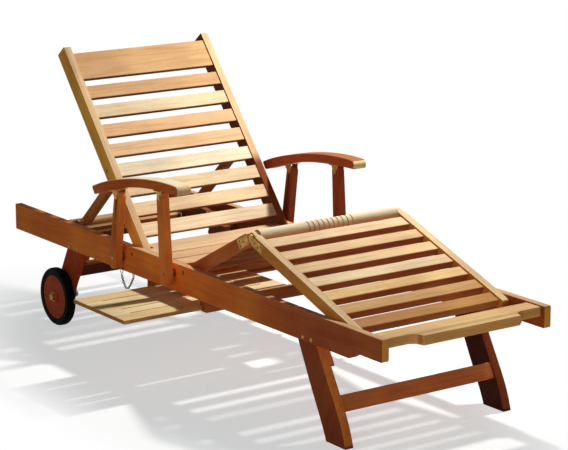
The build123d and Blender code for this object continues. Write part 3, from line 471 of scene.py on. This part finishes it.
# Painted shade: the racks are a dark copy of the frame wood, as they lie in the backrest's shadow.
notched_shade_wood = hardwood("notched_rack_shade_wood", upper=(0.30, 0.12, 0.05), flank=(0.20, 0.06, 0.02), seed=4.3)
dress(["back_rack_right", "back_rack_left"], notched_shade_wood)

# ---------------------------------------------------------------- rack boards
# A flat board across the rear ends of the racks, and a square bar between
# them, lie under the path of the prop's foot bar. Both are planed hardwood.
MIDDLE_Y = 0.10925
RACK_FACE = 0.226
RACK_BOARDS = {
    "rack_flat_board": (-0.8625, -0.7965, 0.2680, 0.2850),
    "rack_edge_board": (-0.7480, -0.7260, 0.2640, 0.2850),
}
PLANK_SIDES = [(0, 1, 3, 2), (4, 6, 7, 5), (0, 4, 5, 1), (2, 3, 7, 6), (0, 2, 6, 4), (1, 5, 7, 3)]


def plank(name, x_ends, z_ends, mat):
    """A planed plank across the chair, from rack to rack."""
    y_ends = (MIDDLE_Y - RACK_FACE, MIDDLE_Y + RACK_FACE)
    corners = [(x, y, z) for x in x_ends for y in y_ends for z in z_ends]
    data = bpy.data.meshes.new(name)
    data.from_pydata(corners, [], PLANK_SIDES)
    made = placed(name, data)
    finished(made, mat, ARRIS)
    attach(made, "frame")


rack_wood = hardwood(
    "rack_board_wood",
    upper=(0.90, 0.58, 0.24),
    flank=(0.30, 0.08, 0.02),
    along="Y",
    seed=4.5,
)
for board, (x0, x1, z0, z1) in RACK_BOARDS.items():
    plank(board, (x0, x1), (z0, z1), rack_wood)

# ---------------------------------------------------------------- seat boards
# Three planed boards lie on cleats between the rails, flush with their upper
# edges. Each is from its own plank.
SEAT_FLANK = (0.50, 0.18, 0.06)
SEAT_BOARDS = {
    "seat_board_rear": (0.78, 0.55, 0.34),
    "seat_board_middle": (0.74, 0.48, 0.28),
    "seat_board_front": (0.78, 0.54, 0.31),
}
for i, (board, shade) in enumerate(SEAT_BOARDS.items()):
    seat_wood = hardwood(f"{board}_wood", upper=shade, flank=SEAT_FLANK, along="Y", seed=5.0 + i * 0.3)
    dress([board], seat_wood, ARRIS)

# ---------------------------------------------------------------- foot board
# A thick golden board ties the rails together at the foot. Its wide middle
# runs out to narrow ends in hollow curves, and it has one small knot.
FULL_ARRIS = 0.002
FOOT_KNOT = (0.985, 0.300, 0.345, 0.005)
foot_wood = hardwood(
    "foot_wood",
    upper=(0.88, 0.58, 0.265),
    flank=(1.0, 0.53, 0.17),
    along="Y",
    seed=6.0,
    knots=[FOOT_KNOT],
)
dress(["foot_board"], foot_wood, FULL_ARRIS)

# ---------------------------------------------------------------- backrest
# Two stiles carry a wide top board and eight slats. The slats were cut from
# different planks, so each has its own tone.
BACK_TURN = -50.6
SLAT_FLANK = (0.26, 0.08, 0.022)
BACK_ROW_START = -1.01869
BACK_ROW_PITCH = 0.07155
BACK_SLAT_TONES = (
    (0.71, 0.44, 0.22),
    (0.87, 0.71, 0.46),
    (0.83, 0.53, 0.29),
    (0.86, 0.60, 0.34),
    (0.91, 0.80, 0.58),
    (0.87, 0.70, 0.45),
    (0.88, 0.68, 0.43),
    (0.93, 0.77, 0.54),
)
back_wood = hardwood(
    "back_slat_wood",
    upper=BACK_SLAT_TONES[0],
    flank=SLAT_FLANK,
    along="Y",
    turn=BACK_TURN,
    boards=("X", BACK_ROW_START, BACK_ROW_PITCH, BACK_SLAT_TONES),
    seed=7.0,
)
dress(["back_slats"], back_wood, FULL_ARRIS)
top_wood = hardwood(
    "back_top_wood",
    upper=(0.71, 0.44, 0.21),
    flank=SLAT_FLANK,
    along="Y",
    turn=BACK_TURN,
    seed=7.7,
)
dress(["back_top_board"], top_wood, FULL_ARRIS)
stile_wood = hardwood(
    "back_stile_wood",
    upper=(0.76, 0.55, 0.32),
    flank=(1.0, 0.52, 0.09),
    turn=BACK_TURN,
    seed=8.0,
)
dress(["back_stile_right"], stile_wood, ARRIS)
# Painted shade and painted shadow: the far stile and base rail are a dark-sided copy of the stile wood, and
# below 0.525 m their upper faces keep the dark side colour, as the far arm's shadow.
far_stile_shade_wood = hardwood(
    "far_stile_shade_wood",
    upper=(0.85, 0.58, 0.32),
    flank=(0.24, 0.06, 0.02),
    turn=BACK_TURN,
    seed=8.4,
    shadowed=("Z", 0.525, 0.565),
)
dress(["back_stile_left", "back_base_rail"], far_stile_shade_wood, ARRIS)

# ---------------------------------------------------------------- prop
# The back leans on a frame of two arms and a round foot bar, which drops
# into the notches of the racks.
PROP_TURN = -42.4
prop_wood = hardwood(
    "prop_wood",
    upper=(0.84, 0.54, 0.27),
    flank=(0.55, 0.20, 0.06),
    turn=PROP_TURN,
    seed=9.0,
)
dress(["prop_arm_right", "prop_arm_left"], prop_wood, ARRIS)
bar_wood = hardwood("foot_bar_wood", upper=(0.88, 0.62, 0.35), flank=(0.60, 0.26, 0.09), along="Y", seed=9.5)
dress(["prop_foot_bar"], bar_wood)

# ---------------------------------------------------------------- upper leg rest
# A short slatted hardwood frame, pivoted on the rails in front of the seat.
# Its five slats lie between two stiles.
THIGH_TURN = 27.6
THIGH_PIVOT = (0.0245, 0.329)
THIGH_MIDDLE = 0.0055
THIGH_ROW_START = 0.19913
THIGH_ROW_PITCH = 0.073
SLAT_EXTRA = 0.0085
THIGH_SLAT_TONES = (
    (0.86, 0.60, 0.34),
    (0.82, 0.54, 0.30),
    (0.88, 0.66, 0.40),
    (0.84, 0.56, 0.31),
    (0.86, 0.60, 0.34),
)


def thickened(name, body, pivot, tilt, middle, mat):
    """Slats of full thickness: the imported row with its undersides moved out."""
    up = Vector((-math.sin(tilt), 0, math.cos(tilt)))
    start = Vector((pivot[0], 0, pivot[1]))
    data = node[name].data.copy()
    for vertex in data.vertices:
        if (vertex.co - start).dot(up) < middle:
            vertex.co -= up * SLAT_EXTRA
    made = placed(f"thick_{name}", data)
    finished(made, mat, FULL_ARRIS)
    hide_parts(name)
    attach(made, body)


thigh_wood = hardwood(
    "thigh_slat_wood",
    upper=THIGH_SLAT_TONES[0],
    flank=SLAT_FLANK,
    along="Y",
    turn=THIGH_TURN,
    boards=("X", THIGH_ROW_START, THIGH_ROW_PITCH, THIGH_SLAT_TONES),
    seed=10.0,
)
thigh_tilt = math.radians(THIGH_TURN)
thickened("thigh_slats", "upper_leg_rest", THIGH_PIVOT, thigh_tilt, THIGH_MIDDLE, thigh_wood)
thigh_stile_wood = hardwood(
    "thigh_stile_wood",
    upper=(0.86, 0.58, 0.30),
    flank=(0.60, 0.17, 0.045),
    turn=THIGH_TURN,
    seed=11.0,
)
dress(["thigh_stile_right", "thigh_stile_left"], thigh_stile_wood, THIN_ARRIS)

# ---------------------------------------------------------------- lower leg rest
# A longer slatted frame hangs from the knee and rests its end on ledges
# behind the foot board. Its seven slats come from different planks.
CALF_TURN = -19.2
KNEE = (0.34557, 0.49685)
CALF_MIDDLE = 0.0
CALF_ROW_START = 0.1792
CALF_ROW_PITCH = 0.0725
CALF_SLAT_TONES = (
    (0.94, 0.69, 0.42),
    (0.92, 0.65, 0.36),
    (0.92, 0.65, 0.36),
    (0.99, 0.78, 0.48),
    (0.98, 0.68, 0.31),
    # Painted shade: the last two tones, nearest the foot, are darker for the shade there.
    (0.72, 0.41, 0.17),
    (0.66, 0.33, 0.10),
)
calf_wood = hardwood(
    "calf_slat_wood",
    upper=CALF_SLAT_TONES[0],
    flank=PLAIN_FLANK,
    along="Y",
    turn=CALF_TURN,
    boards=("X", CALF_ROW_START, CALF_ROW_PITCH, CALF_SLAT_TONES),
    seed=12.0,
)
calf_tilt = math.radians(CALF_TURN)
thickened("calf_slats", "lower_leg_rest", KNEE, calf_tilt, CALF_MIDDLE, calf_wood)
calf_stile_wood = hardwood(
    "calf_stile_wood",
    upper=(0.92, 0.68, 0.38),
    flank=(0.78, 0.34, 0.065),
    turn=CALF_TURN,
    seed=13.0,
)
dress(["calf_stile_right", "calf_stile_left"], calf_stile_wood, THIN_ARRIS)

# ---------------------------------------------------------------- knee rod
# The knee bar is turned round from pale hardwood, and ten grooves in its
# middle make a grip.
rod_wood = hardwood(
    "knee_rod_wood",
    upper=(1.0, 0.86, 0.60),
    flank=(1.0, 0.68, 0.36),
    along="Y",
    turn=CALF_TURN,
    seed=14.0,
)
dress(["knee_rod"], rod_wood)

# ---------------------------------------------------------------- armrests
# Bowed hardwood boards with well rounded edges stand on two folding posts
# each. Their front end faces are painted pale, as painted light.
ARM_TURN = 10.0
# Painted light: the arms' front end faces are painted pale, as if lit.
ARM_LIT_END = (0.96, 0.74, 0.42)
arm_wood = hardwood(
    "arm_wood",
    upper=(0.98, 0.84, 0.58),
    flank=(0.62, 0.15, 0.025),
    turn=ARM_TURN,
    seed=15.0,
    lit_end=ARM_LIT_END,
)
dress(["arm_right"], arm_wood)
# Painted shade: the far arm is a darker copy of the arm wood, for its shaded side.
far_arm_shade_wood = hardwood(
    "far_arm_shade_wood",
    upper=(0.34, 0.12, 0.04),
    flank=(0.46, 0.095, 0.036),
    turn=ARM_TURN,
    seed=15.5,
    lit_end=ARM_LIT_END,
)
dress(["arm_left"], far_arm_shade_wood)
post_wood = hardwood("post_wood", upper=(0.80, 0.45, 0.20), flank=(0.76, 0.235, 0.053), along="Z", seed=16.0)
dress(["arm_rear_post_right", "arm_front_post_right"], post_wood, ARRIS)
# Painted shade: the far posts are a darker copy of the post wood, as they stand in the far arm's shadow.
far_post_shade_wood = hardwood(
    "far_post_shade_wood",
    upper=(0.36, 0.12, 0.045),
    flank=(0.28, 0.055, 0.022),
    along="Z",
    seed=16.5,
)
dress(["arm_rear_post_left", "arm_front_post_left"], far_post_shade_wood, ARRIS)

# ---------------------------------------------------------------- tray
# A thin panel, sawn into five boards that stay joined at their ends, slides
# in the grooved runners.
TRAY_ARRIS = 0.001
TRAY_ROW_START = -0.1535
TRAY_ROW_PITCH = 0.054
TRAY_TONES = (
    (0.93, 0.71, 0.38),
    (0.96, 0.79, 0.46),
    (0.94, 0.74, 0.42),
    (0.97, 0.82, 0.50),
    (0.92, 0.70, 0.38),
)
tray_wood = hardwood(
    "tray_wood",
    upper=TRAY_TONES[0],
    flank=(0.74, 0.38, 0.14),
    along="Y",
    boards=("X", TRAY_ROW_START, TRAY_ROW_PITCH, TRAY_TONES),
    seed=17.0,
)
dress(["tray"], tray_wood, TRAY_ARRIS)

# ---------------------------------------------------------------- brass fittings
# Turned and pressed brass bolts, caps, brackets and hinge leaves. The brass
# has gone brown, and shows bright where it is rubbed. The prop's rod is steel.
TARNISH_SCALE = 60.0
SCRATCH_SCALE = 900.0
SCRATCH_STRENGTH = 0.2
SCRATCH_DEPTH = 0.0002
RUBBED_REACH = 0.0012


def metal(name, bright, dull, roughness):
    """Tarnished metal, bright where hands and wear have rubbed it."""
    mat = bpy.data.materials.new(name)
    mat.use_nodes = True
    tree = mat.node_tree
    shader = tree.nodes["Principled BSDF"]
    shader.inputs["Metallic"].default_value = 1.0
    place = put(tree, "ShaderNodeTexCoord").outputs["Object"]
    wires = {"Vector": place, "Scale": TARNISH_SCALE, "Detail": 4.0}
    cloud = put(tree, "ShaderNodeTexNoise", wires).outputs["Fac"]
    wires = {"Vector": place, "Scale": SCRATCH_SCALE, "Detail": 2.0}
    scratch = put(tree, "ShaderNodeTexNoise", wires).outputs["Fac"]
    handled = spread(tree, sharpness(tree, RUBBED_REACH), 0.97, 0.80)
    rubbed = figure_out(tree, "MAXIMUM", spread(tree, cloud, 0.42, 0.80, 0.0, 0.7), handled)
    tree.links.new(mixed(tree, rubbed, (*dull, 1), (*bright, 1)), shader.inputs["Base Color"])
    rough = spread(tree, cloud, 0.3, 0.7, roughness + 0.14, roughness - 0.08)
    tree.links.new(rough, shader.inputs["Roughness"])
    wires = {"Strength": SCRATCH_STRENGTH, "Distance": SCRATCH_DEPTH, "Height": scratch}
    tree.links.new(put(tree, "ShaderNodeBump", wires).outputs[0], shader.inputs["Normal"])
    return mat


BOLTS = ["hub_nuts", "leg_bolts", "back_pivot_bolts", "leg_rest_pivot_bolts", "post_pivot_bolts"]
PLATES = ["arm_plates_right", "arm_plates_left", "thigh_hinge_leaves", "calf_hinge_leaves"]
brass = metal("brass", bright=(0.60, 0.31, 0.085), dull=(0.22, 0.095, 0.026), roughness=0.38)
dress([*BOLTS, "lock_pin"], brass)
leaf_brass = metal("leaf_brass", bright=(0.56, 0.33, 0.09), dull=(0.34, 0.18, 0.045), roughness=0.46)
dress(PLATES, leaf_brass)
screw_brass = metal("screw_brass", bright=(0.10, 0.06, 0.025), dull=(0.03, 0.018, 0.009), roughness=0.40)
steel = metal("dull_steel", bright=(0.30, 0.28, 0.26), dull=(0.10, 0.09, 0.08), roughness=0.42)
dress(["prop_rod"], steel)

# ---------------------------------------------------------------- stub axles
# Each wheel turns on its own short steel bolt through the foot of the rear
# leg. A washer and nut stand on its inner end, 21 mm clear of the leg.
AXLE_X = -0.711
AXLE_Z = 0.0955
AXLE_R = 0.0070
AXLE_END = 0.3365
WASHER_FACE = 0.2510
WASHER_R = 0.0130
WASHER_THICK = 0.0016
NUT_R = 0.0100
NUT_SHOULDER = 0.0085
NUT_END = 0.0100
NUT_TIP_R = 0.0080
STUB_STEPS = 32
STUB_PROFILE = (
    (AXLE_END, AXLE_R),
    (WASHER_FACE, AXLE_R),
    (WASHER_FACE, WASHER_R),
    (WASHER_FACE - WASHER_THICK, WASHER_R),
    (WASHER_FACE - WASHER_THICK, NUT_R),
    (WASHER_FACE - NUT_SHOULDER, NUT_R),
    (WASHER_FACE - NUT_END, NUT_TIP_R),
)


def made_from(name, mesh):
    """Turn drawn faces outward and make a piece of them."""
    bmesh.ops.recalc_face_normals(mesh, faces=mesh.faces)
    data = bpy.data.meshes.new(name)
    mesh.to_mesh(data)
    mesh.free()
    return placed(name, data)


def stub(mesh, side):
    """Turn one bolt, with its washer and nut, on the right (-1) or left (1)."""
    rows = []
    for out, r in STUB_PROFILE:
        row = []
        for k in range(STUB_STEPS):
            a = 2 * math.pi * k / STUB_STEPS
            spot = (AXLE_X + r * math.cos(a), MIDDLE_Y + side * out, AXLE_Z + r * math.sin(a))
            row.append(mesh.verts.new(spot))
        rows.append(row)
    for first, second in zip(rows, rows[1:]):
        for k in range(STUB_STEPS):
            after = (k + 1) % STUB_STEPS
            mesh.faces.new((first[k], first[after], second[after], second[k]))
    mesh.faces.new(rows[0])
    mesh.faces.new(rows[-1])


stub_mesh = bmesh.new()
for side in (-1, 1):
    stub(stub_mesh, side)
stub_axles = made_from("stub_axles", stub_mesh)
stub_axles.data.materials.append(steel)
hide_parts("axle")
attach(stub_axles, "frame")

# ---------------------------------------------------------------- hinge screws
# Slotted brass screws with low domed heads hold the leaves of the knee
# hinges to the stiles, three in each leaf.
SCREW_R = 0.0032
SLOT_HALF = 0.0005
SCREW_PROUD = 0.0006
SLOT_FLOOR = 0.1
SCREW_STEPS = 20
SCREW_PROFILE = ((1.0, 0.0), (1.0, 0.25), (0.72, 0.72), (0.3, 1.0))
STILE_FACE = 0.274
THIGH_SCREWS = ((0.299, 0.007), (0.299, -0.008), (0.318, 0.0))
CALF_SCREWS = ((0.024, -0.006), (0.040, -0.011), (0.052, -0.002))


def screw_head(mesh, spot, side, slot_angle):
    """Add a domed head, split by its slot, to mesh. side is -1 or 1 along Y."""
    turn = Matrix.Rotation(slot_angle, 4, "Y")
    for half_side in (-1, 1):
        rows = []
        for reach, rise in SCREW_PROFILE:
            row = []
            for k in range(SCREW_STEPS + 1):
                a = math.pi * k / SCREW_STEPS - math.pi / 2
                x = max(SCREW_R * reach * math.cos(a), SLOT_HALF) * half_side
                z = SCREW_R * reach * math.sin(a)
                row.append(mesh.verts.new(spot + turn @ Vector((x, side * SCREW_PROUD * rise, z))))
            rows.append(row)
        for lower, upper in zip(rows, rows[1:]):
            for k in range(SCREW_STEPS):
                mesh.faces.new((lower[k], lower[k + 1], upper[k + 1], upper[k]))
        mesh.faces.new(rows[-1])
        for last in (0, SCREW_STEPS):
            mesh.faces.new([row[last] for row in rows])
    floor_ring = []
    for k in range(2 * SCREW_STEPS):
        a = math.pi * k / SCREW_STEPS
        y = side * SCREW_PROUD * SLOT_FLOOR
        ring_spot = Vector((SCREW_R * math.cos(a), y, SCREW_R * math.sin(a)))
        floor_ring.append(mesh.verts.new(spot + ring_spot))
    mesh.faces.new(floor_ring)


def screws(name, body, origin, tilt, spots):
    """Screws on both sides of the chair at spots measured along a tilted stile."""
    mesh = bmesh.new()
    for side in (-1, 1):
        for i, (u, w) in enumerate(spots):
            x = origin[0] + u * math.cos(tilt) - w * math.sin(tilt)
            z = origin[1] + u * math.sin(tilt) + w * math.cos(tilt)
            slot_angle = 0.4 + 1.1 * i + side
            screw_head(mesh, Vector((x, MIDDLE_Y + side * STILE_FACE, z)), side, slot_angle)
    made = made_from(name, mesh)
    made.data.materials.append(screw_brass)
    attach(made, body)


screws("thigh_leaf_screws", "upper_leg_rest", THIGH_PIVOT, thigh_tilt, THIGH_SCREWS)
screws("calf_leaf_screws", "lower_leg_rest", KNEE, calf_tilt, CALF_SCREWS)

# ---------------------------------------------------------------- pin chain
# A light chain of welded wire links keeps the lock pin on the chair. It
# hangs from the pin's ring to a screw eye under the rail.
LINK_LONG = 0.0044
LINK_WIDE = 0.0031
LINK_WIRE = 0.0012
LINK_PITCH = 0.0068
LINK_STEPS = 20
WIRE_STEPS = 8
CHAIN_ROUTE = (
    (-0.3185, -0.19575, 0.2515),
    (-0.312, -0.193, 0.222),
    (-0.2955, -0.19075, 0.207),
    (-0.279, -0.187, 0.225),
    (-0.2685, -0.18375, 0.250),
)
ROUTE_STEPS = 24
EYE_SPOT = Vector((-0.2685, -0.18375, 0.2577))
EYE_R = 0.0040
EYE_WIRE = 0.0012


def ring_of_wire(mesh, spot, axes, long, wide, wire):
    """Add a closed oval of round wire to mesh."""
    rows = []
    for k in range(LINK_STEPS):
        a = 2 * math.pi * k / LINK_STEPS
        middle = Vector((long * math.cos(a), wide * math.sin(a), 0))
        out = Vector((math.cos(a), math.sin(a), 0))
        row = []
        for j in range(WIRE_STEPS):
            b = 2 * math.pi * j / WIRE_STEPS
            point = middle + out * wire * math.cos(b) + Vector((0, 0, wire * math.sin(b)))
            row.append(mesh.verts.new(spot + axes @ point))
        rows.append(row)
    for k in range(LINK_STEPS):
        a, b = rows[k], rows[(k + 1) % LINK_STEPS]
        for j in range(WIRE_STEPS):
            after = (j + 1) % WIRE_STEPS
            mesh.faces.new((a[j], b[j], b[after], a[after]))


def route_points(route, step):
    """Points a step apart along the smooth line of a route, with its direction."""
    curve = bpy.data.curves.new("chain_route", "CURVE")
    curve.dimensions = "3D"
    line = curve.splines.new("NURBS")
    line.points.add(len(route) - 1)
    for point, spot in zip(line.points, route):
        point.co = (*spot, 1)
    line.order_u = 3
    line.use_endpoint_u = True
    line.resolution_u = ROUTE_STEPS
    shape = bpy.data.objects.new("chain_route", curve)
    fine = [Vector(v.co) for v in bpy.data.meshes.new_from_object(shape).vertices]
    bpy.data.objects.remove(shape)
    found, travelled, due = [], 0.0, step / 2
    for a, b in zip(fine, fine[1:]):
        length = (b - a).length
        while due <= travelled + length:
            found.append((a.lerp(b, (due - travelled) / length), (b - a).normalized()))
            due += step
        travelled += length
    return found


chain_mesh = bmesh.new()
for i, (spot, ahead) in enumerate(route_points(CHAIN_ROUTE, LINK_PITCH)):
    across = ahead.cross(Vector((0, 1, 0))).normalized()
    if i % 2:
        across = ahead.cross(across).normalized()
    axes = Matrix((ahead, across, ahead.cross(across))).transposed()
    ring_of_wire(chain_mesh, spot, axes, LINK_LONG, LINK_WIDE, LINK_WIRE)
upright = Matrix(((1, 0, 0), (0, 0, 1), (0, 1, 0)))
ring_of_wire(chain_mesh, EYE_SPOT, upright, EYE_R, EYE_R, EYE_WIRE)
chain_links = made_from("chain_links", chain_mesh)
for face in chain_links.data.polygons:
    face.use_smooth = True
dark_steel = metal("dark_chain", bright=(0.11, 0.095, 0.08), dull=(0.02, 0.017, 0.015), roughness=0.40)
chain_links.data.materials.append(dark_steel)
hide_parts("pin_chain")
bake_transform(chain_links)

# ---------------------------------------------------------------- wheel discs
# Solid discs are turned from a dark red-brown plank, with a boss at the hub.
# They run loose on the bolts.
disc_wood = hardwood("disc_wood", upper=(0.42, 0.115, 0.05), flank=(0.53, 0.101, 0.042), seed=18.0)
dress(["wheel_disc_right", "wheel_disc_left"], disc_wood)

# ---------------------------------------------------------------- tyres
# Black rubber tyres are pressed onto the discs. Their tread has cross bars
# beside a plain middle band, and the side walls are smooth.
TYRE_R = 0.0955
TYRE_BORE = 0.07205
TYRE_IN = 0.2975
TYRE_WIDE = 0.031
TREAD_BARS = 56
TREAD_DEPTH = 0.0011
BAR_STEPS = 4
RUBBER_BLACK = (0.0012, 0.0010, 0.0010, 1)
RUBBER_DUST = (0.005, 0.004, 0.004, 1)
RUBBER_SPECULAR = 0.03
WALL = TYRE_WIDE / 2
# Radius, distance from the middle, and whether the tread's bars cut it.
HALF_SECTION = (
    (TYRE_BORE, WALL - 0.0004, 0),
    (TYRE_BORE + 0.0015, WALL, 0),
    (TYRE_R - 0.0095, WALL, 0),
    (TYRE_R - 0.0060, WALL - 0.0008, 0),
    (TYRE_R - 0.0030, WALL - 0.0028, 1),
    (TYRE_R - 0.0010, WALL - 0.0056, 1),
    (TYRE_R - 0.0001, WALL - 0.0090, 1),
    (TYRE_R, 0.0050, 1),
    (TYRE_R, 0.0045, 0),
)
TYRE_SECTION = HALF_SECTION + tuple((r, -y, tread) for r, y, tread in reversed(HALF_SECTION))
rubber = bpy.data.materials.new("black_rubber")
rubber.use_nodes = True
tree = rubber.node_tree
shader = tree.nodes["Principled BSDF"]
place = put(tree, "ShaderNodeTexCoord").outputs["Object"]
dust = put(tree, "ShaderNodeTexNoise", {"Vector": place, "Scale": 70.0, "Detail": 6.0}).outputs["Fac"]
tone = mixed(tree, spread(tree, dust, 0.45, 0.75), RUBBER_BLACK, RUBBER_DUST)
shader.inputs["Specular IOR Level"].default_value = RUBBER_SPECULAR
tree.links.new(tone, shader.inputs["Base Color"])
tree.links.new(spread(tree, dust, 0.3, 0.7, 0.50, 0.72), shader.inputs["Roughness"])
dusty = put(tree, "ShaderNodeBump", {"Strength": 0.3, "Distance": 0.0003, "Height": dust})
tree.links.new(dusty.outputs[0], shader.inputs["Normal"])


def tyre(name, side, body, stands_for):
    """Turn the tyre's section round the axle, with bars cut in its tread."""
    middle = MIDDLE_Y + side * (TYRE_IN + WALL)
    mesh = bmesh.new()
    steps = TREAD_BARS * BAR_STEPS
    rows = []
    for k in range(steps):
        a = 2 * math.pi * k / steps
        sunk = TREAD_DEPTH if k % BAR_STEPS == 0 else 0.0
        row = []
        for r, y, tread in TYRE_SECTION:
            reach = r - sunk * tread
            spot = (AXLE_X + reach * math.sin(a), middle + y, TYRE_R + reach * math.cos(a))
            row.append(mesh.verts.new(spot))
        rows.append(row)
    count = len(TYRE_SECTION)
    for k in range(steps):
        a, b = rows[k], rows[(k + 1) % steps]
        for j in range(count):
            after = (j + 1) % count
            mesh.faces.new((a[j], b[j], b[after], a[after]))
    made = made_from(name, mesh)
    made.data.materials.append(rubber)
    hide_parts(stands_for)
    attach(made, body)


tyre("treaded_tyre_right", -1, "wheel_right", "tyre_right")
tyre("treaded_tyre_left", 1, "wheel_left", "tyre_left")
